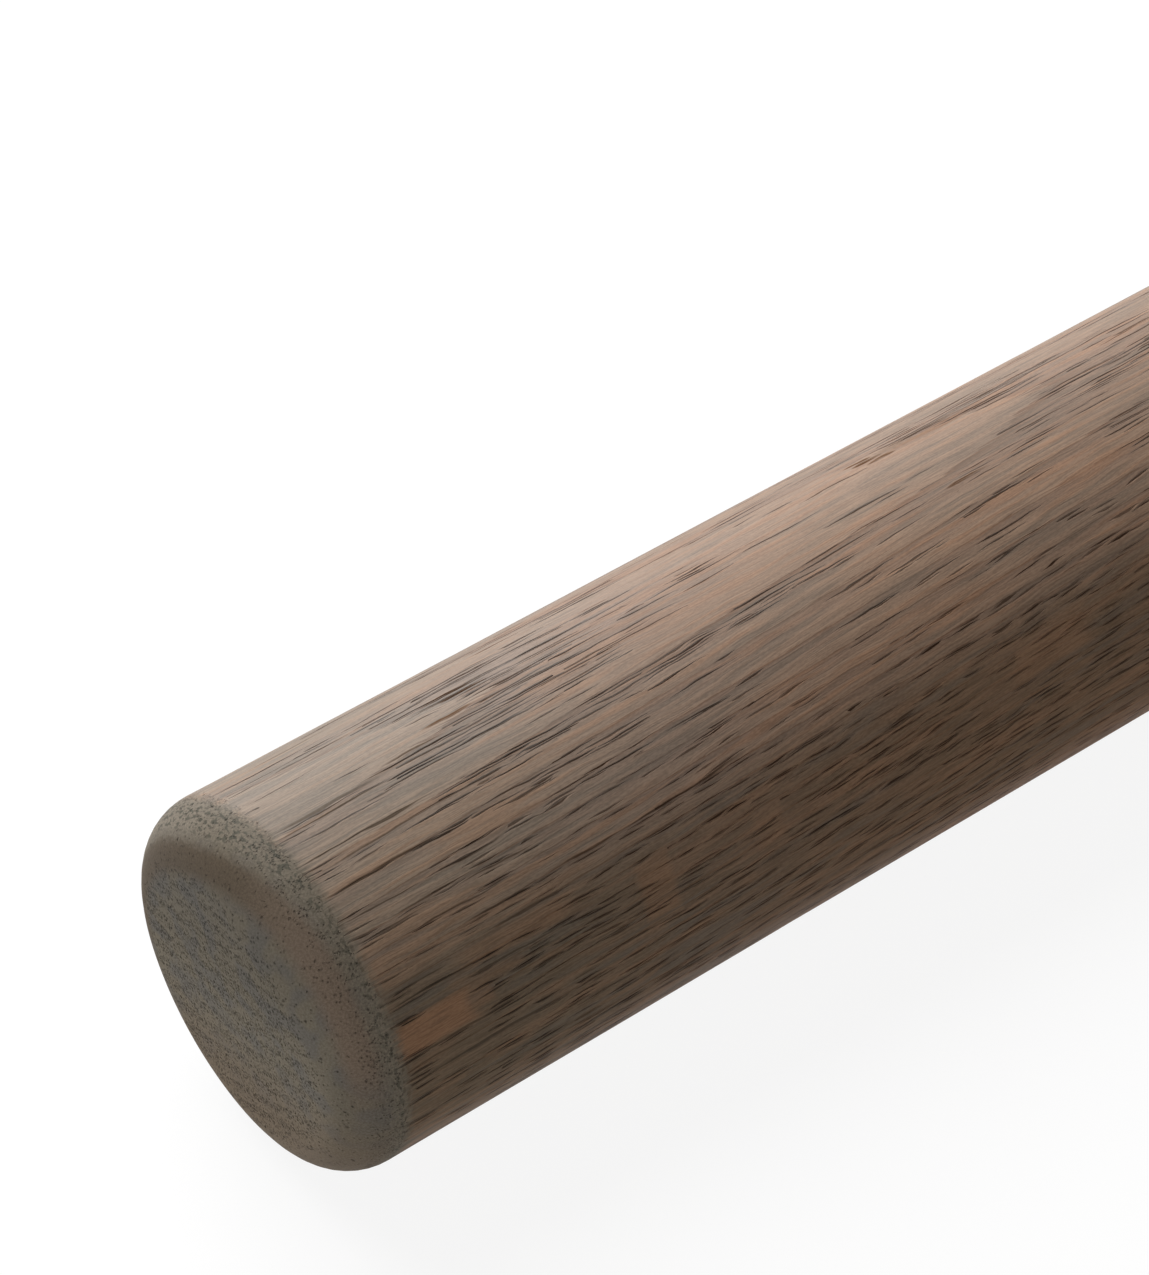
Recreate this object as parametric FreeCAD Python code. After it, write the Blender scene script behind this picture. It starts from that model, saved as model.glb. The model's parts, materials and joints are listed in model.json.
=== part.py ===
import FreeCAD, Part
import math
import os

# A straight length of round timber handrail, turned from one piece of oak, with both ends eased.
# X runs along the rail and Z is up. The origin is on the ground under the middle of the length,
# where the lying rail touches. Sizes are in millimetres.

# Driving dimensions
rail_diameter = 45.0  # the round that a hand closes on
rail_length = 1000.0  # over both end faces
end_round_radius = 7.0  # quarter round between the side and each end face

# What follows from them
rail_radius = rail_diameter / 2
half_length = rail_length / 2
axis_height = rail_radius  # the rail lies on the ground
full_turn = 360


def on_section(along, off_axis):
    """A point of the half section, by its place along the rail and its distance off the axis."""
    return FreeCAD.Vector(along, 0, axis_height + off_axis)


def eased_end(side):
    """The quarter round at the left end (side -1) or the right end (side 1), from face to barrel."""
    round_centre_along = side * (half_length - end_round_radius)
    round_centre_off_axis = rail_radius - end_round_radius
    diagonal = end_round_radius * math.sqrt(0.5)
    return Part.Arc(
        on_section(side * half_length, round_centre_off_axis),
        on_section(round_centre_along + side * diagonal, round_centre_off_axis + diagonal),
        on_section(round_centre_along, rail_radius),
    ).toShape()


def straight(start, end):
    return Part.LineSegment(start, end).toShape()


def half_section():
    """Half of the section along the rail: axis, end face, quarter round, barrel, and back."""
    left_round = eased_end(-1)
    right_round = eased_end(1)
    left_face_edge, left_barrel_edge = (vertex.Point for vertex in left_round.Vertexes)
    right_face_edge, right_barrel_edge = (vertex.Point for vertex in right_round.Vertexes)
    left_centre = on_section(-half_length, 0)
    right_centre = on_section(half_length, 0)
    edges = [
        straight(left_centre, left_face_edge),
        left_round,
        straight(left_barrel_edge, right_barrel_edge),
        right_round,
        straight(right_face_edge, right_centre),
        straight(right_centre, left_centre),
    ]
    return Part.Face(Part.Wire(Part.__sortEdges__(edges)))


def handrail():
    """The rail, turned about its axis."""
    return half_section().revolve(on_section(0, 0), FreeCAD.Vector(1, 0, 0), full_turn)


os.makedirs("parts", exist_ok=True)
rail = handrail()
rail.exportStep("parts/handrail.step")
print("handrail valid:", rail.isValid(), "volume in litres:", round(rail.Volume / 1e6, 4))
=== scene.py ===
import json
import math

import bmesh
import bpy
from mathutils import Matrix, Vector


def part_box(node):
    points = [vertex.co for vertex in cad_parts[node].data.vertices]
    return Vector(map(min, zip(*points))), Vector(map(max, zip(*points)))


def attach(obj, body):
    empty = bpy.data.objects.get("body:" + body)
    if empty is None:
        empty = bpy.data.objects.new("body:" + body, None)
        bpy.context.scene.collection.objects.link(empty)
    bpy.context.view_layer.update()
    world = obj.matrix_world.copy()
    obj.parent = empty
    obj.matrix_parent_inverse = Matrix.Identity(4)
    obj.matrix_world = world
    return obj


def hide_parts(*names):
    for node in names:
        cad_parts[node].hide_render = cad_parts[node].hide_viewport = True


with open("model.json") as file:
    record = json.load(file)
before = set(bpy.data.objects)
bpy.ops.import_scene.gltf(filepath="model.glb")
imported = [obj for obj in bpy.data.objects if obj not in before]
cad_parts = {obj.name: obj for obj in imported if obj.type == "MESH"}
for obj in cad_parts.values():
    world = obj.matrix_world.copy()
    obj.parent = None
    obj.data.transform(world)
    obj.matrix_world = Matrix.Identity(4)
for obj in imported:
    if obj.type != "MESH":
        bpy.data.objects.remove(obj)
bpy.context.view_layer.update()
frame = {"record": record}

# Round oak handrail, lying on a pale floor and seen close up at its left end.
# Meshes are in metres. The wood's own pattern is worked out in millimetres.

mm = 0.001
railLow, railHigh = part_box("handrail")
railLength = railHigh.x - railLow.x
railRadius = (railHigh.z - railLow.z) / 2
barrelMount = next(m for m in frame["record"]["mounts"] if m["name"] == "rail_barrel")
endRound = (railLength - barrelMount["dims"]["length_mm"] * mm) / 2
flatRadius = railRadius - endRound  # of the flat of each end face
endCentre = Vector((railLow.x, 0, railRadius))  # middle of the end face that the camera sees
print("rail", round(railLength, 3), "long and", round(railRadius * 2, 3), "across")
print("ends rounded by", round(endRound, 4))

cameraSetup = {
    "lens": 113.74,  # mm
    "sensor": 36,  # mm
    "fromEnd": (-0.135663, -0.241958, 0.336913),  # where it stands, seen from the end face's middle
    "lookDown": 45.51,  # degrees below the horizon
    "turn": 36.94,  # degrees from +Y towards +X
    "nearest": 0.01,  # how close it can see
}


def makeCamera():
    cameraData = bpy.data.cameras.new("photoCamera")
    cameraData.lens = cameraSetup["lens"]
    cameraData.sensor_width = cameraSetup["sensor"]
    cameraData.clip_start = cameraSetup["nearest"]
    camera = bpy.data.objects.new("photoCamera", cameraData)
    bpy.context.scene.collection.objects.link(camera)
    camera.location = endCentre + Vector(cameraSetup["fromEnd"])
    tilt = math.radians(90 - cameraSetup["lookDown"])
    camera.rotation_euler = (tilt, 0, math.radians(-cameraSetup["turn"]))
    bpy.context.scene.camera = camera


makeCamera()
print("camera in place")


# Small helpers for node trees, the same for shader and geometry nodes

white = (1, 1, 1, 1)


def screenColor(red, green, blue):
    # a colour as a screen shows it, 0 to 255, turned into the linear values that sockets take
    linear = [((c / 255 + 0.055) / 1.055) ** 2.4 for c in (red, green, blue)]
    return (*linear, 1)


def plug(tree, socket, value):
    if isinstance(value, bpy.types.NodeSocket):
        tree.links.new(value, socket)
    else:
        socket.default_value = value


def calc(tree, operation, *values):
    node = tree.nodes.new("ShaderNodeMath")
    node.operation = operation
    for socket, value in zip(node.inputs, values):
        plug(tree, socket, value)
    return node.outputs[0]


def product(tree, first, *others):
    for other in others:
        first = calc(tree, "MULTIPLY", first, other)
    return first


def vectorCalc(tree, operation, *values):
    node = tree.nodes.new("ShaderNodeVectorMath")
    node.operation = operation
    for socket, value in zip(node.inputs, values):
        plug(tree, socket, value)
    return node.outputs["Value"] if operation in ("DOT_PRODUCT", "LENGTH") else node.outputs["Vector"]


def scaleVector(tree, vector, factor):
    node = tree.nodes.new("ShaderNodeVectorMath")
    node.operation = "SCALE"
    plug(tree, node.inputs[0], vector)
    plug(tree, node.inputs["Scale"], factor)
    return node.outputs["Vector"]


def joinXyz(tree, x, y, z):
    node = tree.nodes.new("ShaderNodeCombineXYZ")
    for socket, value in zip(node.inputs, (x, y, z)):
        plug(tree, socket, value)
    return node.outputs[0]


def splitXyz(tree, vector):
    node = tree.nodes.new("ShaderNodeSeparateXYZ")
    plug(tree, node.inputs[0], vector)
    return node.outputs


def flat(tree, first, firstSize, second, secondSize, shift=0.0):
    # two values as a place on a plane, each counted in steps of its own size
    over = calc(tree, "MULTIPLY_ADD", first, 1 / firstSize, shift)
    return joinXyz(tree, over, calc(tree, "MULTIPLY", second, 1 / secondSize), 0.0)


def ramp(tree, value, start, end, low=0.0, high=1.0):
    # eases from low at start to high at end, and stays there
    node = tree.nodes.new("ShaderNodeMapRange")
    node.interpolation_type = "SMOOTHSTEP"
    for socket, given in zip(node.inputs, (value, start, end, low, high)):
        plug(tree, socket, given)
    return node.outputs[0]


def choose(tree, switch, off, on):
    # one value where the switch is 0 and the other where it is 1
    return ramp(tree, switch, 0.0, 1.0, off, on)


def noise(tree, vector, detail=1.0, dimensions="2D"):
    node = tree.nodes.new("ShaderNodeTexNoise")
    node.noise_dimensions = dimensions
    plug(tree, node.inputs["Vector"], vector)
    plug(tree, node.inputs["Scale"], 1.0)
    plug(tree, node.inputs["Detail"], detail)
    return node.outputs[0]


def centred(tree, value, reach):
    # a noise of 0 to 1 as a shift of up to the reach either way
    return calc(tree, "MULTIPLY_ADD", value, reach * 2, -reach)


def mixColor(tree, factor, first, second, blend="MIX"):
    # the mix node keeps a set of sockets for each kind of value, so those for colours go by number
    node = tree.nodes.new("ShaderNodeMix")
    node.data_type = "RGBA"
    node.blend_type = blend
    plug(tree, node.inputs["Factor"], factor)
    plug(tree, node.inputs[6], first)
    plug(tree, node.inputs[7], second)
    return node.outputs[2]


def mixVector(tree, factor, first, second):
    # and so do those for vectors
    node = tree.nodes.new("ShaderNodeMix")
    node.data_type = "VECTOR"
    plug(tree, node.inputs["Factor"], factor)
    plug(tree, node.inputs[4], first)
    plug(tree, node.inputs[5], second)
    return node.outputs[1]


def brighten(tree, color, factor):
    # above 1 lightens, below 1 darkens
    return mixColor(tree, 1.0, color, joinXyz(tree, factor, factor, factor), "MULTIPLY")


# The wood's figure: where the growth rings lie and how the grain runs
# In the dictionaries below, four numbers are an ease: from, to, and the value at each of them.
# Two numbers are an ease from 0 to 1, if nothing else is said.

lengthMm = railLength / mm
radiusMm = railRadius / mm
roundMm = endRound / mm
flatMm = flatRadius / mm


def ofRadius(first, second):
    return first * radiusMm, second * radiusMm


woodFigure = {
    "crestAngle": -13,  # where rings lie flat to the surface, degrees from the top towards the camera
    "coreTilt": 0.18,  # how much further the rings lean at the rail's middle
    "pithDistance": 100,  # mm, how gently the rings curve
    "ringGap": 2.35,  # mm
    "ringRise": 0.028,  # how fast the rings climb to the surface, mm per mm of length
    "firstTip": 34,  # mm from the end, where the first flame closes
    "ringWave": 0.30,  # mm that a ring strays
    "ringJag": 0.16,  # mm, how ragged a flame's front is
    "lineBend": 0.8,  # mm that the grain strays sideways
    "bendSpot": (42, 8),  # mm of length and width to one such bend
    "lineWobble": 0.30,  # mm of shorter wobble in it
    "wobbleSpot": (7, 1.3),
    "turnAside": (30, 130, 0.0, 4.2),  # along the rail, mm that the grain below the crest climbs
    "belowCrest": (2.0, 12.0),  # mm across
    "steady": (120, 300),  # mm from the end, over which a slower drift sets in
    "driftSpot": (170, 45),
    "slowDrift": 3.5,  # mm of it sideways
    "slowRise": 1.6,  # mm of it in the rings
    "sideStarts": 7.1,  # mm from the end, where end grain gives way to side grain
    "borderJag": 1.0,  # mm, how ragged that border is
}


def noiseInside(tree, inMm, size, detail):
    # runs through the whole of the wood, not only over its surface
    length, width = size
    inSpots = vectorCalc(tree, "MULTIPLY", inMm, (1 / length, 1 / width, 1 / width))
    return noise(tree, inSpots, detail, "3D")


def woodPlace(tree, position):
    # all in mm: along the rail, around it, outward, and the two ways across the end grain
    wood = woodFigure
    crest = math.radians(wood["crestAngle"])
    fromAxis = vectorCalc(tree, "SUBTRACT", position, (railLow.x, 0, railRadius))
    inMm = scaleVector(tree, fromAxis, 1 / mm)
    along = vectorCalc(tree, "DOT_PRODUCT", inMm, (1, 0, 0))
    outward = vectorCalc(tree, "DOT_PRODUCT", inMm, (0, -math.sin(crest), math.cos(crest)))
    across = vectorCalc(tree, "DOT_PRODUCT", inMm, (0, -math.cos(crest), -math.sin(crest)))
    around = calc(tree, "MULTIPLY", calc(tree, "ARCTAN2", across, outward), radiusMm)
    fromEnd = calc(tree, "MINIMUM", along, calc(tree, "SUBTRACT", lengthMm, along))

    # the grain's line strays as it runs along
    slow = noiseInside(tree, inMm, wood["driftSpot"], 0.0)
    drift = calc(tree, "MULTIPLY", centred(tree, slow, 1.0), ramp(tree, along, *wood["steady"]))
    bend = noiseInside(tree, inMm, wood["bendSpot"], 1.0)
    wobbleLength, wobbleWidth = wood["wobbleSpot"]
    wobble = noise(tree, flat(tree, along, wobbleLength, around, wobbleWidth), 2.0)
    below = ramp(tree, across, *wood["belowCrest"])
    aside = calc(tree, "MULTIPLY", ramp(tree, along, *wood["turnAside"]), below)
    line = calc(tree, "MULTIPLY_ADD", drift, wood["slowDrift"], calc(tree, "ADD", around, aside))
    line = calc(tree, "ADD", line, centred(tree, bend, wood["lineBend"]))
    line = calc(tree, "ADD", line, centred(tree, wobble, wood["lineWobble"]))

    climbing = calc(tree, "MULTIPLY_ADD", along, -wood["ringRise"], outward)
    climbing = calc(tree, "MULTIPLY_ADD", drift, wood["slowRise"], climbing)
    level = calc(tree, "ADD", climbing, centred(tree, bend, wood["ringWave"]))
    border = calc(tree, "ADD", fromEnd, centred(tree, wobble, wood["borderJag"]))

    # how far round the edge a place is: 0 where the flat ends, a quarter arc where the side begins
    offAxis = vectorCalc(tree, "LENGTH", vectorCalc(tree, "MULTIPLY", inMm, (0, 1, 1)))
    beyondFlat = calc(tree, "SUBTRACT", offAxis, flatMm)
    toBarrel = calc(tree, "SUBTRACT", roundMm, fromEnd)
    turned = calc(tree, "MULTIPLY", calc(tree, "ARCTAN2", beyondFlat, toBarrel), roundMm)
    # end grain is drawn as if the rounding were laid out flat around the face, so that dots stay round
    onFlat = calc(tree, "MINIMUM", offAxis, flatMm)
    laidOut = calc(tree, "ADD", onFlat, calc(tree, "MAXIMUM", turned, 0.0))
    almostNothing = 0.01
    stretch = calc(tree, "DIVIDE", laidOut, calc(tree, "MAXIMUM", offAxis, almostNothing))
    return {
        "inMm": inMm,
        "along": along,
        "around": line,
        "onSide": joinXyz(tree, along, line, 0.0),
        "outward": outward,
        "across": across,
        "level": level,
        "endAcross": calc(tree, "MULTIPLY", across, stretch),
        "endLevel": calc(tree, "MULTIPLY", level, stretch),
        "fromEnd": fromEnd,
        "turned": turned,
        "isEnd": calc(tree, "LESS_THAN", border, wood["sideStarts"]),
    }


def spot(tree, place, length, width, endWidth, shift=0.0):
    # counts steps of one length along and one width across on the side, and square steps in end grain
    side = flat(tree, place["along"], length, place["around"], width, shift)
    end = flat(tree, place["endAcross"], endWidth, place["endLevel"], endWidth, shift)
    return mixVector(tree, place["isEnd"], side, end)


def growthRing(tree, place, fine):
    # how far the year has gone at a place, 0 to 1
    wood = woodFigure
    across = place["across"]
    depth = calc(tree, "MULTIPLY_ADD", place["outward"], -1 / radiusMm, 1.0)
    lean = product(tree, across, depth, -wood["coreTilt"])
    bow = product(tree, across, across, -0.5 / wood["pithDistance"])
    surface = calc(tree, "ADD", calc(tree, "ADD", place["level"], lean), bow)
    surface = calc(tree, "ADD", surface, centred(tree, fine, wood["ringJag"]))
    start = radiusMm - wood["ringRise"] * wood["firstTip"]
    rings = calc(tree, "MULTIPLY", calc(tree, "SUBTRACT", start, surface), 1 / wood["ringGap"])
    return calc(tree, "FRACT", rings)


# a pore is a short groove with tapered ends on the side, and a dot in end grain
wideVessels = {
    "cell": (11.0, 0.50),  # mm of length and width to each
    "halfLength": (0.56, 0.25),  # of a cell, on the crest and at the sides
    "halfWidth": (0.205, 0.155),
    "endCell": 0.52,  # mm
    "dotRadius": 0.28,  # of a cell
    "shift": 0.0,
}
smallPores = {
    "cell": (5.2, 0.56),
    "halfLength": (0.46, 0.38),
    "halfWidth": (0.14, 0.19),
    "endCell": 0.30,
    "dotRadius": 0.32,
    "shift": 17.3,
}
poreShape = {
    "crestToSide": ofRadius(0.1, 0.9),  # mm across
    "widerBelow": (*ofRadius(-0.15, -0.6), 1.0, 1.6),  # how much, by the place outward
    "smallest": 0.5,  # of the full size
    "weakest": (0.6, 0.25),  # of full strength, on the side and in end grain
    "rim": (0.0, 0.14),  # how soft a pore's edge is
    "hollowRim": (-1.0, 0.1),  # and that of the hollow round it
}


def poreGrooves(tree, place, pores, density):
    # two masks: the dark of each pore, and the wider hollow that it lies in
    shape = poreShape
    isEnd = place["isEnd"]
    across = place["across"]
    cell = spot(tree, place, *pores["cell"], pores["endCell"], pores["shift"])
    node = tree.nodes.new("ShaderNodeTexVoronoi")
    node.voronoi_dimensions = "2D"
    plug(tree, node.inputs["Vector"], cell)
    plug(tree, node.inputs["Scale"], 1.0)
    down, over = splitXyz(tree, vectorCalc(tree, "SUBTRACT", cell, node.outputs["Position"]))[:2]
    chance, size, shade = splitXyz(tree, node.outputs["Color"])
    halfLength = ramp(tree, across, *shape["crestToSide"], *pores["halfLength"])
    halfLength = choose(tree, isEnd, halfLength, pores["dotRadius"])
    halfWidth = ramp(tree, across, *shape["crestToSide"], *pores["halfWidth"])
    wider = ramp(tree, place["outward"], *shape["widerBelow"])
    halfWidth = choose(tree, isEnd, calc(tree, "MULTIPLY", halfWidth, wider), pores["dotRadius"])
    taper = calc(tree, "POWER", calc(tree, "ABSOLUTE", calc(tree, "DIVIDE", down, halfLength)), 2.0)
    wall = calc(tree, "DIVIDE", calc(tree, "ABSOLUTE", over), halfWidth)
    full = calc(tree, "MULTIPLY_ADD", size, 1 - shape["smallest"], shape["smallest"])
    inside = calc(tree, "SUBTRACT", full, calc(tree, "ADD", taper, wall))
    present = calc(tree, "LESS_THAN", chance, density)
    weakest = choose(tree, isEnd, *shape["weakest"])
    strength = calc(tree, "MULTIPLY", present, choose(tree, shade, weakest, 1.0))
    dark = calc(tree, "MULTIPLY", ramp(tree, inside, *shape["rim"]), strength)
    hollow = calc(tree, "MULTIPLY", ramp(tree, inside, *shape["hollowRim"]), strength)
    return dark, hollow


# The mesh

railMesh = {
    "around": 384,  # sides of the barrel
    "roundSegments": 12,
    "roundProfile": 0.5,  # a circle's arc
    "faceRings": 9,  # rings of faces on each end face
    "spacingChanges": (0.060, 0.170, 0.500),  # from the left end
    "cuts": (50, 55, 45, 45),  # across the barrel, up to each of these places and to the far end
    "nearlyAlong": 0.9,  # a face or edge that points further along X than this runs along the rail
}
cornersOfQuad = 4


def pick(kind, test):
    # selects the faces or edges that pass a test
    data = bpy.context.edit_object.data
    bpy.ops.mesh.select_all(action="DESELECT")
    bpy.ops.mesh.select_mode(type=kind)
    mesh = bmesh.from_edit_mesh(data)
    for element in mesh.faces if kind == "FACE" else mesh.edges:
        if test(element):
            element.select = True
    mesh.select_flush_mode()
    bmesh.update_edit_mesh(data)


def facesAlong(face):
    return abs(face.normal.x) > railMesh["nearlyAlong"]


def isCap(face):
    return len(face.verts) > cornersOfQuad


def barrelEdgesWithin(begin, finish):
    # the edges that run along the barrel between two places
    def test(edge):
        start, end = (v.co for v in edge.verts)
        runsAlong = abs(start.x - end.x) > railMesh["nearlyAlong"] * (start - end).length
        return runsAlong and begin < (start.x + end.x) / 2 < finish
    return test


def roundEnds():
    pick("FACE", facesAlong)
    bpy.ops.mesh.region_to_loop()
    segments = railMesh["roundSegments"]
    profile = railMesh["roundProfile"]
    bpy.ops.mesh.bevel(offset=endRound, segments=segments, profile=profile, affect="EDGES")


def ringFaces():
    # rings on the flat of each end face, and a fan at its middle
    step = flatRadius / (railMesh["faceRings"] + 1)
    for ring in range(railMesh["faceRings"]):
        pick("FACE", isCap)
        bpy.ops.mesh.inset(thickness=step)
    pick("FACE", isCap)
    bpy.ops.mesh.poke()


def cutBarrel():
    # cuts across the barrel, close together near the left end
    stations = [railLow.x + endRound]
    for fromLeft in railMesh["spacingChanges"]:
        cutAt = railLow.x + fromLeft
        bpy.ops.mesh.select_all(action="SELECT")
        bpy.ops.mesh.bisect(plane_co=(cutAt, 0, 0), plane_no=(1, 0, 0))
        stations.append(cutAt)
    stations.append(railHigh.x - endRound)
    for begin, finish, cuts in zip(stations, stations[1:], railMesh["cuts"]):
        pick("EDGE", barrelEdgesWithin(begin, finish))
        bpy.ops.mesh.subdivide(number_cuts=cuts)


def modelRail():
    bpy.ops.object.select_all(action="DESELECT")
    bpy.ops.mesh.primitive_cylinder_add(
        vertices=railMesh["around"],
        radius=railRadius,
        depth=railLength,
        end_fill_type="NGON",
        location=(0, 0, railRadius),
        rotation=(0, math.radians(90), 0),
    )
    rail = bpy.context.object
    rail.name = "brushedRail"
    bpy.ops.object.transform_apply(location=True, rotation=True, scale=True)
    bpy.ops.object.mode_set(mode="EDIT")
    roundEnds()
    ringFaces()
    cutBarrel()
    bpy.ops.object.mode_set(mode="OBJECT")
    bpy.ops.object.shade_smooth()
    return rail


rail = modelRail()
rail.data.calc_loop_triangles()
print("rail modelled:", len(rail.data.vertices), "points,", len(rail.data.loop_triangles), "triangles")


# brushing wears the soft early wood hollow: real relief, cut inwards only
reliefCut = {
    "early": 0.05,  # mm
    "wave": 0.04,  # mm of slow unevenness
    "startsAt": (4.0, 12.0),  # mm from the end
    "yearBegins": (0.0, 0.12),  # of a year
    "earlyEnds": (0.25, 0.75, 1.0, 0.0),
    "streakSpot": (14.0, 1.5, 2.0),  # mm of length and width on the side, and mm in end grain
    "streaked": (0.35, 0.65, 0.3, 1.0),
    "waveSpot": (60.0, 9.0, 9.0, 3.3),  # the last is a shift, so that noises don't fall together
}


def reliefDepth(tree):
    # mm inwards at each point
    cut = reliefCut
    place = woodPlace(tree, tree.nodes.new("GeometryNodeInputPosition").outputs[0])
    middleOfNoise = 0.5
    year = growthRing(tree, place, middleOfNoise)
    worn = product(tree, ramp(tree, year, *cut["yearBegins"]), ramp(tree, year, *cut["earlyEnds"]))
    streak = noise(tree, spot(tree, place, *cut["streakSpot"]))
    wave = noise(tree, spot(tree, place, *cut["waveSpot"]))
    early = calc(tree, "MULTIPLY", worn, ramp(tree, streak, *cut["streaked"]))
    depth = calc(tree, "MULTIPLY_ADD", early, cut["early"], calc(tree, "MULTIPLY", wave, cut["wave"]))
    return calc(tree, "MULTIPLY", depth, ramp(tree, place["fromEnd"], *cut["startsAt"]))


def cutRelief(rail):
    tree = bpy.data.node_groups.new("brushedRelief", "GeometryNodeTree")
    tree.interface.new_socket("Geometry", in_out="INPUT", socket_type="NodeSocketGeometry")
    tree.interface.new_socket("Geometry", in_out="OUTPUT", socket_type="NodeSocketGeometry")
    given = tree.nodes.new("NodeGroupInput")
    result = tree.nodes.new("NodeGroupOutput")
    normal = tree.nodes.new("GeometryNodeInputNormal").outputs[0]
    inward = calc(tree, "MULTIPLY", reliefDepth(tree), -mm)
    move = tree.nodes.new("GeometryNodeSetPosition")
    tree.links.new(given.outputs[0], move.inputs["Geometry"])
    tree.links.new(scaleVector(tree, normal, inward), move.inputs["Offset"])
    tree.links.new(move.outputs[0], result.inputs[0])
    bpy.ops.object.modifier_add(type="NODES")
    modifier = rail.modifiers[-1]
    modifier.node_group = tree
    bpy.ops.object.modifier_apply(modifier=modifier.name)


cutRelief(rail)
print("relief cut")


# Rays, stains and long grooves that stand out, placed one by one. Each mark is mm from the end, degrees
# from the top towards the camera, half length and half width in mm, and strength.
handMarks = {
    "rays": {
        "squared": True,
        "soft": 0.3,  # how much of its size a mark takes to fade
        "broken": (0.30, 0.50, 0.75, 1.0),  # by the fine grain
        "marks": (
            (12.4, 67.9, 4.8, 1.95, 0.95),
            (17.8, 67.2, 2.2, 1.3, 0.4),
            (24.5, 56, 7.0, 1.2, 0.35),
            (42.3, 66, 2.1, 3.6, 0.45),
            (57.5, 68, 1.9, 2.2, 0.3),
            (99.0, 68, 5.5, 2.4, 0.5),
        ),
    },
    "smudges": {
        "squared": False,
        "soft": 0.3,
        "broken": (0.34, 0.56, 0.3, 1.0),
        "marks": (
            (94.0, -24.3, 1.8, 0.22, 0.9),
            (95.2, -22.6, 2.2, 0.28, 1.0),
            (96.5, -20.8, 2.0, 0.20, 0.8),
            (104.0, -23.0, 8.0, 1.2, 0.30),
            (34.0, -19.5, 3.2, 0.28, 0.9),
            (36.0, -17.0, 3.0, 0.25, 0.8),
            (32.0, -9.5, 3.2, 0.28, 0.8),
            (101.0, 8.0, 2.8, 0.35, 0.8),
        ),
    },
    "grooves": {
        "squared": False,
        "soft": 0.4,
        "broken": (0.30, 0.50, 0.7, 1.0),
        "marks": (
            (14.0, -2.0, 6.5, 0.22, 0.39),
            (14.5, 0.6, 7.0, 0.12, 0.60),
            (23.0, -3.3, 3.8, 0.12, 0.50),
            (26.0, -5.0, 3.8, 0.12, 0.50),
            (15.0, 10.7, 8.0, 0.10, 0.78),
            (19.0, 11.0, 3.2, 0.17, 0.74),
            (17.0, 14.5, 7.0, 0.09, 0.51),
            (27.0, 14.2, 4.5, 0.09, 0.55),
            (15.0, 21.8, 7.5, 0.10, 0.72),
            (12.8, 30.4, 4.6, 0.09, 0.60),
            (24.5, 30.3, 3.4, 0.12, 0.64),
            (17.0, 34.6, 4.2, 0.10, 0.55),
            (12.0, 37.0, 3.6, 0.12, 0.51),
            (26.0, 36.0, 4.4, 0.10, 0.64),
            (19.0, 41.0, 6.0, 0.10, 0.64),
            (24.5, 46.2, 3.6, 0.12, 0.74),
            (36.0, 45.2, 4.0, 0.12, 0.74),
            (49.0, 45.3, 7.5, 0.12, 0.83),
            (27.0, 51.5, 5.4, 0.12, 0.60),
            (12.0, 54.4, 3.6, 0.10, 0.64),
            (14.5, 57.5, 5.8, 0.11, 0.74),
            (24.0, 60.5, 5.5, 0.11, 0.55),
            (15.0, 74.2, 7.5, 0.14, 0.55),
            (12.0, 77.6, 4.0, 0.12, 0.51),
            (19.0, 81.8, 10.0, 0.16, 0.60),
            (18.5, -26.0, 5.0, 0.12, 0.46),
            (17.5, -36.8, 5.5, 0.19, 0.37),
        ),
    },
}
groovesStart = (7.2, 8.2)  # mm from the end


def surfaceMark(tree, place, mark, squared, soft):
    # a patch on the barrel, squared or drawn out to points
    fromEnd, angle, halfLength, halfWidth, strength = mark
    sideways = math.radians(angle - woodFigure["crestAngle"]) * radiusMm
    scales = (1 / halfLength, 1 / halfWidth, 0)
    middle = (-fromEnd / halfLength, -sideways / halfWidth, 0)
    offset = vectorCalc(tree, "MULTIPLY_ADD", place["onSide"], scales, middle)
    if squared:
        down, over = splitXyz(tree, vectorCalc(tree, "ABSOLUTE", offset))[:2]
        distance = calc(tree, "MAXIMUM", down, over)
    else:
        distance = vectorCalc(tree, "LENGTH", offset)
    return ramp(tree, distance, 1 + soft, 1 - soft, 0.0, strength)


def allMarks(tree, place, fine, kindName):
    # all of one kind as one mask, broken up by the grain
    kind = handMarks[kindName]
    total = 0.0
    for mark in kind["marks"]:
        drawn = surfaceMark(tree, place, mark, kind["squared"], kind["soft"])
        total = calc(tree, "MAXIMUM", total, drawn)
    return calc(tree, "MULTIPLY", total, ramp(tree, fine, *kind["broken"]))


# The look of the oak

woodLook = {
    "lateWood": screenColor(151, 129, 112),
    "earlyWood": screenColor(141, 120, 105),
    "sideWood": screenColor(127, 107, 89),
    "frontLine": screenColor(110, 76, 50),
    "warmStreak": screenColor(160, 126, 102),
    "coolStreak": screenColor(117, 107, 97),
    "greyWood": (0.92, 0.96, 0.945, 1),  # tints the wood near the left end
    "redWood": (1.03, 0.965, 0.90, 1),  # and further along
    "pore": screenColor(56, 38, 26),
    "ray": screenColor(155, 119, 92),
    "smudge": screenColor(90, 60, 38),
    "endFace": screenColor(123, 115, 101),
    "endBlue": screenColor(114, 109, 101),
    "endLow": screenColor(124, 110, 94),
    "endBrown": screenColor(101, 89, 75),
    "endBrownSide": screenColor(130, 114, 99),
    "endEdgeTop": screenColor(144, 134, 120),
    "endEdge": screenColor(134, 124, 109),
    "edgeStain": screenColor(62, 66, 57),
    "endPore": screenColor(36, 33, 28),
    "roughness": 0.62,
    "specular": 0.02,
    "polish": 0.58,  # of the rubbed upper side
    "polishRoughness": 0.5,
}

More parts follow.
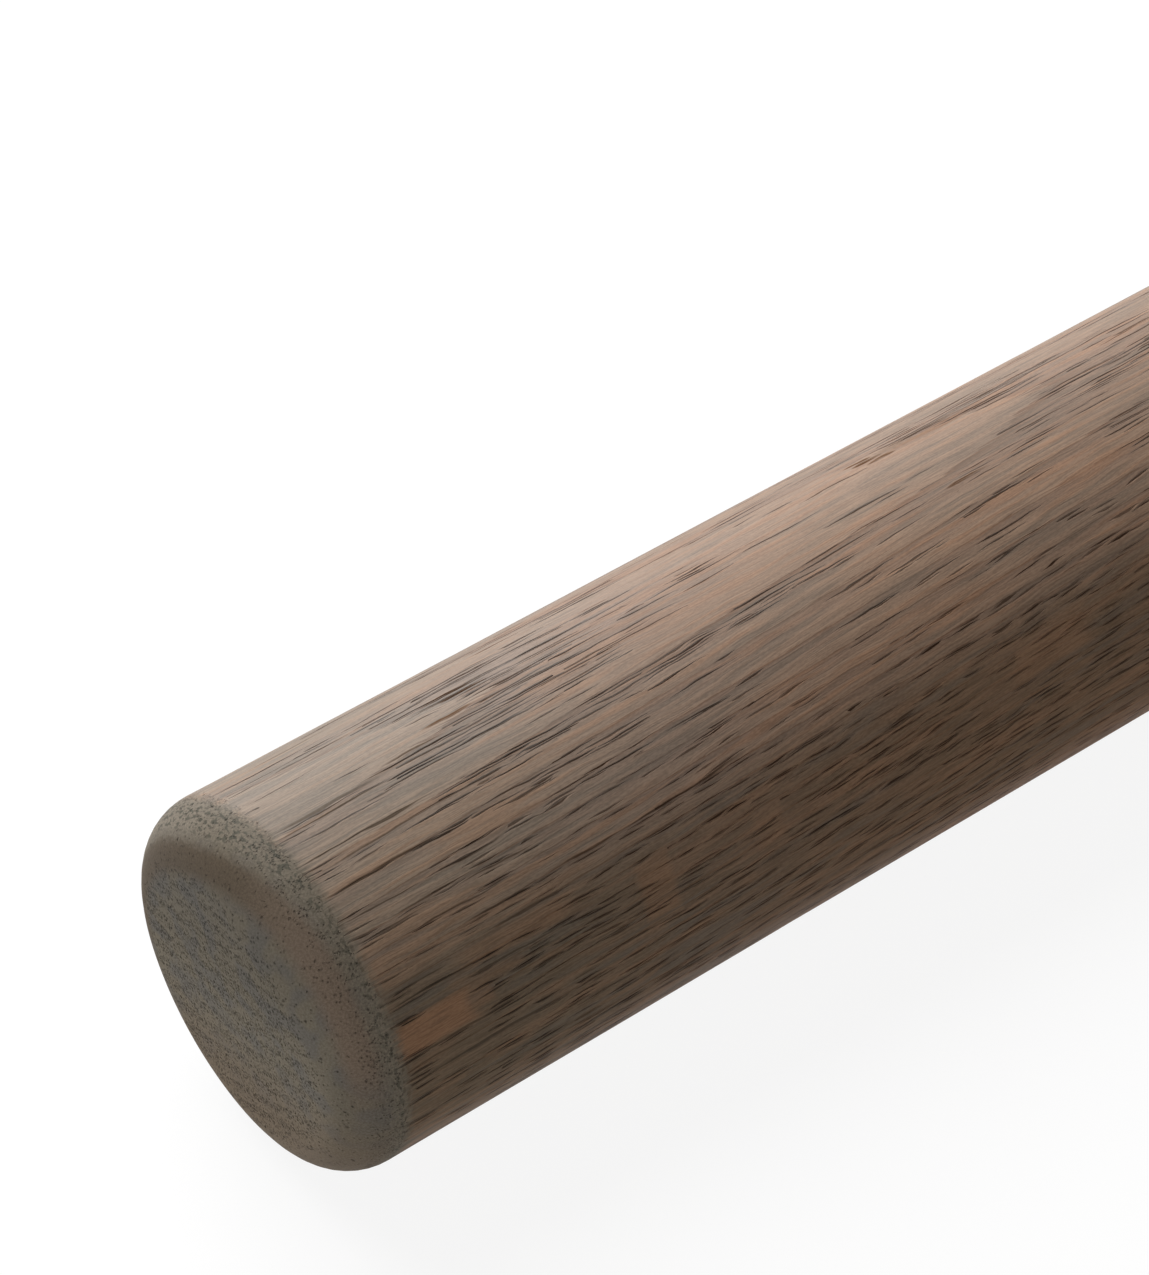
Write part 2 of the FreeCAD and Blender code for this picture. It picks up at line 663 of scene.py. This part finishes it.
# what breaks the wood up: mm of length and width on the side, mm in end grain, and a shift
grainSpots = {
    "fine": (5.0, 0.19, 0.3),
    "grit": (0.55, 0.13, 0.13, 3.7),
    "streak": (20.0, 0.9, 2.0),
    "patch": (48.0, 5.0, 5.0, 9.3),
    "fleck": (7.5, 2.4, 3.0, 5.1),
}
yearParts = {
    "begins": (0.0, 0.02),  # shares of a year
    "earlyEnds": (0.28, 0.66, 1.0, 0.0),
    "frontEnds": (0.02, 0.10, 1.0, 0.0),
}


def grainNoises(tree, place):
    noises = {}
    for name, size in grainSpots.items():
        detail = 0.0 if name == "grit" else 1.0
        noises[name] = noise(tree, spot(tree, place, *size), detail)
    return noises


# how much of the wood the pores take, 0 to 1
poreShares = {
    "wideByPlace": (*ofRadius(0.35, 0.95), 0.95, 0.22),  # mm away from the crest, in early wood
    "wideAnywhere": 0.015,
    "smallByPlace": (*ofRadius(0.35, 0.95), 0.15, 0.58),
    "lateByPlace": (*ofRadius(0.6, 0.95), 0.04, 0.26),  # small ones in late wood
    "lateBelow": (*ofRadius(0.1, -0.5), 0.0, 0.08),  # more of them towards the underside
    "lateAtEnd": (6.0, 11.0, 0.08, 0.0),  # and near the end
    "raysClear": -0.9,  # a ray takes this share of them away
    "patchy": (0.30, 0.62, 0.75, 1.1),
    "thinner": (38, 62, 1.0, 0.42),  # mm along, for the wide ones
    "thickAgain": (170, 260, 0.0, 0.85),
    "fewAtEnd": (14, 36, 0.4, 1.0),
    "fewPastCrest": (-13, -3, 0.35, 1.0),  # mm across, fewer on the side turned from the camera
    "asElsewhere": (18, 45),  # mm along, from where that no longer holds
    "smallAtEnd": (12, 36, 0.5, 1.0),
    "ringed": (0.7, 0.6),  # dots in end grain: what early wood adds, and what late wood has
    "wideDots": ((-0.5, 2.5, 0.50, 0.03), (8.0, 9.5, 0.0, 0.12)),  # mm round the edge
    "smallDots": ((-0.5, 3.0, 0.58, 0.08), (6.5, 8.5, 0.0, 0.31)),
}


def dotShare(tree, place, ringed, eases):
    # many dots on the face and near the outer edge, few on the turn between
    onFace, atRim = (ramp(tree, place["turned"], *ease) for ease in eases)
    return calc(tree, "MULTIPLY", calc(tree, "MAXIMUM", onFace, atRim), ringed)


def allPores(tree, place, grain, early, clear):
    # early wood is full of pores, and they thin out as the year goes on
    share = poreShares
    along = place["along"]
    away = calc(tree, "ABSOLUTE", place["across"])
    ringed = calc(tree, "MULTIPLY_ADD", early, *share["ringed"])

    thinner = ramp(tree, along, *share["thinner"])
    thinner = calc(tree, "MAXIMUM", thinner, ramp(tree, along, *share["thickAgain"]))
    pastCrest = ramp(tree, place["across"], *share["fewPastCrest"])
    pastCrest = calc(tree, "MAXIMUM", pastCrest, ramp(tree, along, *share["asElsewhere"]))
    atEnd = ramp(tree, along, *share["fewAtEnd"])
    patchy = ramp(tree, grain["patch"], *share["patchy"])
    crowd = product(tree, early, patchy, thinner, atEnd, pastCrest)
    byPlace = ramp(tree, away, *share["wideByPlace"])
    wide = calc(tree, "MULTIPLY_ADD", crowd, byPlace, share["wideAnywhere"])
    wide = choose(tree, place["isEnd"], wide, dotShare(tree, place, ringed, share["wideDots"]))

    late = ramp(tree, away, *share["lateByPlace"])
    late = calc(tree, "ADD", late, ramp(tree, place["outward"], *share["lateBelow"]))
    late = calc(tree, "ADD", late, ramp(tree, place["fromEnd"], *share["lateAtEnd"]))
    late = calc(tree, "MULTIPLY", late, clear)
    small = calc(tree, "MULTIPLY_ADD", early, ramp(tree, away, *share["smallByPlace"]), late)
    small = calc(tree, "MULTIPLY", small, ramp(tree, along, *share["smallAtEnd"]))
    small = choose(tree, place["isEnd"], small, dotShare(tree, place, ringed, share["smallDots"]))
    return poreGrooves(tree, place, wideVessels, wide), poreGrooves(tree, place, smallPores, small)


sideTones = {
    "quarter": ofRadius(0.80, 0.97),  # mm away from the crest, where rings stand on edge
    "front": 0.45,  # how clearly a year begins
    "tingeStrays": 0.35,
    "warmth": (0.6, 0.35),  # on the crest, and on the quarter
    "warm": (0.52, 0.78),
    "cool": (0.48, 0.22, 0.0, 0.5),
    "greyFades": (16, 60),  # mm along
    "redGrows": (40, 85),
    "flecks": (0.52, 0.72, 0.0, 0.22),
}


def sideColor(tree, place, grain, early, front, rays, smudges):
    look = woodLook
    tones = sideTones
    quarter = ramp(tree, calc(tree, "ABSOLUTE", place["across"]), *tones["quarter"])
    color = mixColor(tree, early, look["lateWood"], look["earlyWood"])
    color = mixColor(tree, quarter, color, look["sideWood"])
    color = mixColor(tree, calc(tree, "MULTIPLY", front, tones["front"]), color, look["frontLine"])
    tinge = calc(tree, "ADD", grain["streak"], centred(tree, grain["patch"], tones["tingeStrays"]))
    warmth = choose(tree, quarter, *tones["warmth"])
    color = mixColor(tree, ramp(tree, tinge, *tones["warm"], 0.0, warmth), color, look["warmStreak"])
    color = mixColor(tree, ramp(tree, tinge, *tones["cool"]), color, look["coolStreak"])
    greyer = mixColor(tree, ramp(tree, place["along"], *tones["greyFades"]), look["greyWood"], white)
    redder = mixColor(tree, ramp(tree, place["along"], *tones["redGrows"]), greyer, look["redWood"])
    color = mixColor(tree, 1.0, color, redder, "MULTIPLY")
    flecks = calc(tree, "MULTIPLY", ramp(tree, grain["fleck"], *tones["flecks"]), quarter)
    color = mixColor(tree, calc(tree, "MAXIMUM", flecks, rays), color, look["ray"])
    return mixColor(tree, smudges, color, look["smudge"])


# end grain takes more stain: grey on the face, brown where it turns, green-grey along the edge
endTones = {
    "mottleSpot": 4,  # mm
    "mottle": (0.42, 0.65),
    "blotchSpot": (0.8, 0.5),  # mm around and mm round the edge
    "low": (0.0, -16.0, 0.0, 0.9),  # mm outward, so towards the underside
    "bandMiddle": (-9, 19, 2.9, 7.4),  # the brown band's place round the edge, by mm across
    "bandReach": (3.2, 0.8),  # mm from its middle, from none of it to all
    "bandAbove": (-6.0, 4.0),  # mm outward
    "brownToSide": (3.0, 17.0),  # mm across, over which the band pales
    "rimToSide": (-8.0, 2.0),
    "rimStrays": 1.0,  # mm
    "rim": (1.0, 3.4),  # mm past the band's middle
    "paintedShadeTurned": (1.0, 5.0),  # painted shade on the rounding, from here on
    "shade": (8.0, -4.0, 0.0, -0.24),  # mm outward, and by how much: painted shade towards the underside
    "stainBlotch": (0.50, 0.64),
    "stainPastBand": (1.8, 3.6),
    "stainStrength": (4.0, 18.0, 0.62, 0.48),  # by mm across
    "paintedLightAndShade": (-6.0, 20.0, 1.18, 0.80),  # painted light and shade: the end is lightened towards the underside and darkened on top
    "borderJag": 0.5,  # mm, by the fine grain and by blotches
    "borderToSide": (-10.0, 14.0, 1.4, -0.2),  # mm that the border shifts, by mm across
    "border": (8.6, 6.6),  # mm from the end, from side tones to end tones
}


def endColor(tree, place, blotch):
    look = woodLook
    tones = endTones
    across = place["across"]
    outward = place["outward"]
    size = tones["mottleSpot"]
    mottle = noise(tree, flat(tree, across, size, place["level"], size))
    color = mixColor(tree, ramp(tree, mottle, *tones["mottle"]), look["endFace"], look["endBlue"])
    color = mixColor(tree, ramp(tree, outward, *tones["low"]), color, look["endLow"])

    pastBand = calc(tree, "SUBTRACT", place["turned"], ramp(tree, across, *tones["bandMiddle"]))
    band = ramp(tree, calc(tree, "ABSOLUTE", pastBand), *tones["bandReach"])
    band = calc(tree, "MULTIPLY", band, ramp(tree, outward, *tones["bandAbove"]))
    paler = ramp(tree, across, *tones["brownToSide"])
    brown = mixColor(tree, paler, look["endBrown"], look["endBrownSide"])
    color = mixColor(tree, band, color, brown)
    toSide = ramp(tree, across, *tones["rimToSide"])
    rimTone = mixColor(tree, toSide, look["endEdgeTop"], look["endEdge"])
    strayed = calc(tree, "ADD", pastBand, centred(tree, blotch, tones["rimStrays"]))
    color = mixColor(tree, ramp(tree, strayed, *tones["rim"]), color, rimTone)

    # painted shade: the rounding is darkened towards the underside
    shade = product(
        tree,
        ramp(tree, place["turned"], *tones["paintedShadeTurned"]),
        ramp(tree, outward, *tones["shade"]),
    )
    color = brighten(tree, color, calc(tree, "ADD", shade, 1.0))
    stain = product(
        tree,
        ramp(tree, blotch, *tones["stainBlotch"]),
        ramp(tree, pastBand, *tones["stainPastBand"]),
        ramp(tree, across, *tones["stainStrength"]),
    )
    color = mixColor(tree, stain, color, look["edgeStain"])
    # painted light and shade: the end is lighter towards the underside and darker on top
    return brighten(tree, color, ramp(tree, outward, *tones["paintedLightAndShade"]))


def endTinted(tree, place, grain, blotch):
    # where the tones of end grain lie, with a ragged border
    tones = endTones
    jag = tones["borderJag"]
    edge = calc(tree, "ADD", centred(tree, grain["fine"], jag), centred(tree, blotch, jag))
    edge = calc(tree, "ADD", edge, ramp(tree, place["across"], *tones["borderToSide"]))
    return ramp(tree, calc(tree, "ADD", place["fromEnd"], edge), *tones["border"])


surfaceTones = {
    "gritReach": 0.5,
    "gritShare": 0.45,
    "grainTone": (0.2, 0.8, 0.83, 1.16),  # how light the fine grain is
    "calmAtEnd": (0.2, 5.0, 0.75, 1.0),  # mm from the end, and how much of it shows
    "wideDark": 0.95,
    "smallDark": (*ofRadius(0.2, 0.9), 0.75, 0.98),
    "filled": (woodFigure["sideStarts"], 9.0, 0.4, 1.0),  # stain fills the grooves just past the edge
    "dotsOnTurn": (0.0, 3.5, 0.92, 0.68),  # mm round the edge, how dark dots are
    "sideFrom": (10.0, 11.3),
    "greyPores": (14, 40, 0.7, 0.0),  # mm along
    "rubbedWay": (0, 0.5, 0.866),  # where the rail is rubbed most
    "rubbed": (4.0, 18.0),  # mm that way
    "poresDull": (0.0, 0.6, woodLook["polish"], 0.0),  # the polish, by how dark it is
    "underPolish": (-14.0, -19.0, 0.0, 0.15),
    "endDull": -0.7,
    "bumpStreak": 0.08,  # mm, for this and the next three
    "bumpFine": 0.03,
    "bumpWide": -0.25,
    "bumpSmall": -0.19,
}


def grainTone(tree, place, grain):
    tones = surfaceTones
    gritty = centred(tree, grain["grit"], tones["gritReach"])
    mixed = calc(tree, "MULTIPLY_ADD", gritty, tones["gritShare"], grain["fine"])
    away = calc(tree, "SUBTRACT", ramp(tree, mixed, *tones["grainTone"]), 1.0)
    return calc(tree, "MULTIPLY_ADD", away, ramp(tree, place["fromEnd"], *tones["calmAtEnd"]), 1.0)


def darkMask(tree, place, vessels, small, grooves):
    # all that is dark: pores, fainter where the edge turns, and the listed grooves
    tones = surfaceTones
    smallDark = ramp(tree, place["across"], *tones["smallDark"])
    dark = calc(tree, "MULTIPLY", small, smallDark)
    dark = calc(tree, "MAXIMUM", calc(tree, "MULTIPLY", vessels, tones["wideDark"]), dark)
    filled = ramp(tree, place["fromEnd"], *tones["filled"])
    dark = calc(tree, "MULTIPLY", dark, calc(tree, "MAXIMUM", filled, place["isEnd"]))
    onTurn = ramp(tree, place["turned"], *tones["dotsOnTurn"])
    onTurn = calc(tree, "MAXIMUM", onTurn, ramp(tree, place["turned"], *tones["sideFrom"]))
    return calc(tree, "MAXIMUM", calc(tree, "MULTIPLY", dark, onTurn), grooves)


def polish(tree, place, dark, endMask):
    # the upper side, rubbed by hands, shines softly between the pores
    tones = surfaceTones
    upward = vectorCalc(tree, "DOT_PRODUCT", place["inMm"], tones["rubbedWay"])
    shine = ramp(tree, dark, *tones["poresDull"])
    rubbed = calc(tree, "MULTIPLY", ramp(tree, upward, *tones["rubbed"]), shine)
    rubbed = calc(tree, "MAXIMUM", rubbed, ramp(tree, upward, *tones["underPolish"]))
    return calc(tree, "MULTIPLY", rubbed, calc(tree, "MULTIPLY_ADD", endMask, tones["endDull"], 1.0))


def stainedOak():
    look = woodLook
    tones = surfaceTones
    material = bpy.data.materials.new("stainedOak")
    material.use_nodes = True
    tree = material.node_tree
    shader = tree.nodes["Principled BSDF"]
    place = woodPlace(tree, tree.nodes.new("ShaderNodeTexCoord").outputs["Object"])
    grain = grainNoises(tree, place)
    rays = allMarks(tree, place, grain["fine"], "rays")
    smudges = allMarks(tree, place, grain["fine"], "smudges")
    grooves = allMarks(tree, place, grain["fine"], "grooves")
    grooves = calc(tree, "MULTIPLY", grooves, ramp(tree, place["fromEnd"], *groovesStart))

    year = growthRing(tree, place, grain["fine"])
    begun = ramp(tree, year, *yearParts["begins"])
    front = calc(tree, "MULTIPLY", begun, ramp(tree, year, *yearParts["frontEnds"]))
    clear = calc(tree, "MULTIPLY_ADD", rays, poreShares["raysClear"], 1.0)
    early = product(tree, begun, ramp(tree, year, *yearParts["earlyEnds"]), clear)
    (vessels, hollows), (small, smallHollows) = allPores(tree, place, grain, early, clear)

    around, edgeWay = endTones["blotchSpot"]
    blotch = noise(tree, flat(tree, place["around"], around, place["turned"], edgeWay))
    endMask = endTinted(tree, place, grain, blotch)
    base = sideColor(tree, place, grain, early, front, rays, smudges)
    base = mixColor(tree, endMask, base, endColor(tree, place, blotch))
    base = brighten(tree, base, grainTone(tree, place, grain))
    dark = darkMask(tree, place, vessels, small, grooves)
    greyPores = calc(tree, "MAXIMUM", endMask, ramp(tree, place["along"], *tones["greyPores"]))
    base = mixColor(tree, dark, base, mixColor(tree, greyPores, look["pore"], look["endPore"]))
    tree.links.new(base, shader.inputs["Base Color"])
    shader.inputs["Roughness"].default_value = look["roughness"]
    shader.inputs["Specular IOR Level"].default_value = look["specular"]

    rubbed = polish(tree, place, calc(tree, "MAXIMUM", dark, smudges), endMask)
    tree.links.new(rubbed, shader.inputs["Coat Weight"])
    shader.inputs["Coat Roughness"].default_value = look["polishRoughness"]

    bump = tree.nodes.new("ShaderNodeBump")
    bump.inputs["Strength"].default_value = 1.0
    bump.inputs["Distance"].default_value = mm
    height = calc(tree, "MULTIPLY", grain["fine"], tones["bumpFine"])
    height = calc(tree, "MULTIPLY_ADD", grain["streak"], tones["bumpStreak"], height)
    height = calc(tree, "MULTIPLY_ADD", hollows, tones["bumpWide"], height)
    height = calc(tree, "MULTIPLY_ADD", smallHollows, tones["bumpSmall"], height)
    tree.links.new(height, bump.inputs["Height"])
    tree.links.new(bump.outputs["Normal"], shader.inputs["Normal"])
    return material


rail.data.materials.append(stainedOak())
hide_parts("handrail")
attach(rail, "root")
print("oak finished")

studio = {
    "lamps": (  # name, diameter, place, watts
        ("softbox", 2.4, (-0.3, 1.5, 1.9), 60),
        ("backLight", 1.4, (0.3, 2.3, 0.7), 20),
        ("endFill", 1.2, (-2.2, -0.8, 0.3), 11),
        ("farFill", 1.2, (2.4, -0.4, 0.5), 6),
    ),
    "worldFill": 0.10,
    "floorSize": 12,
    "floorSeen": 0.14,  # the floor's paleness to the eye
    "floorGlow": 0.89,  # lifts the seen floor to white, so that only the shadow stays grey
    "floorBounce": 0.68,  # its paleness as it lights the rail from below
}


def seenRay(tree):
    path = tree.nodes.new("ShaderNodeLightPath")
    seen = calc(tree, "MAXIMUM", path.outputs["Is Camera Ray"], path.outputs["Is Glossy Ray"])
    return calc(tree, "MAXIMUM", seen, path.outputs["Is Transmission Ray"])


def makeLamps():
    for name, size, place, watts in studio["lamps"]:
        lamp = bpy.data.lights.new(name, "AREA")
        lamp.shape = "DISK"
        lamp.size = size
        lamp.energy = watts
        lampObject = bpy.data.objects.new(name, lamp)
        bpy.context.scene.collection.objects.link(lampObject)
        lampObject.location = place
        lampObject.rotation_euler = (-lampObject.location).to_track_quat("-Z", "Y").to_euler()


def makeRoom():
    world = bpy.data.worlds.new("paleRoom")
    bpy.context.scene.world = world
    world.use_nodes = True
    tree = world.node_tree
    back = tree.nodes["Background"]
    plug(tree, back.inputs["Strength"], choose(tree, seenRay(tree), studio["worldFill"], 1.0))
    back.inputs["Color"].default_value = white


def makeFloor():
    bpy.ops.object.select_all(action="DESELECT")
    bpy.ops.mesh.primitive_plane_add(size=studio["floorSize"], location=(0, 0, 0))
    floor = bpy.context.object
    floor.name = "paleFloor"
    material = bpy.data.materials.new("paleFloor")
    material.use_nodes = True
    tree = material.node_tree
    shader = tree.nodes["Principled BSDF"]
    shader.inputs["Roughness"].default_value = 1.0
    shader.inputs["Specular IOR Level"].default_value = 0.0
    seen = seenRay(tree)
    shade = choose(tree, seen, studio["floorBounce"], studio["floorSeen"])
    plug(tree, shader.inputs["Base Color"], joinXyz(tree, shade, shade, shade))
    glow = calc(tree, "MULTIPLY", seen, studio["floorGlow"])
    plug(tree, shader.inputs["Emission Color"], joinXyz(tree, glow, glow, glow))
    shader.inputs["Emission Strength"].default_value = 1.0
    floor.data.materials.append(material)


bpy.context.scene.view_settings.view_transform = "Standard"
makeLamps()
makeRoom()
makeFloor()
print("studio lit")
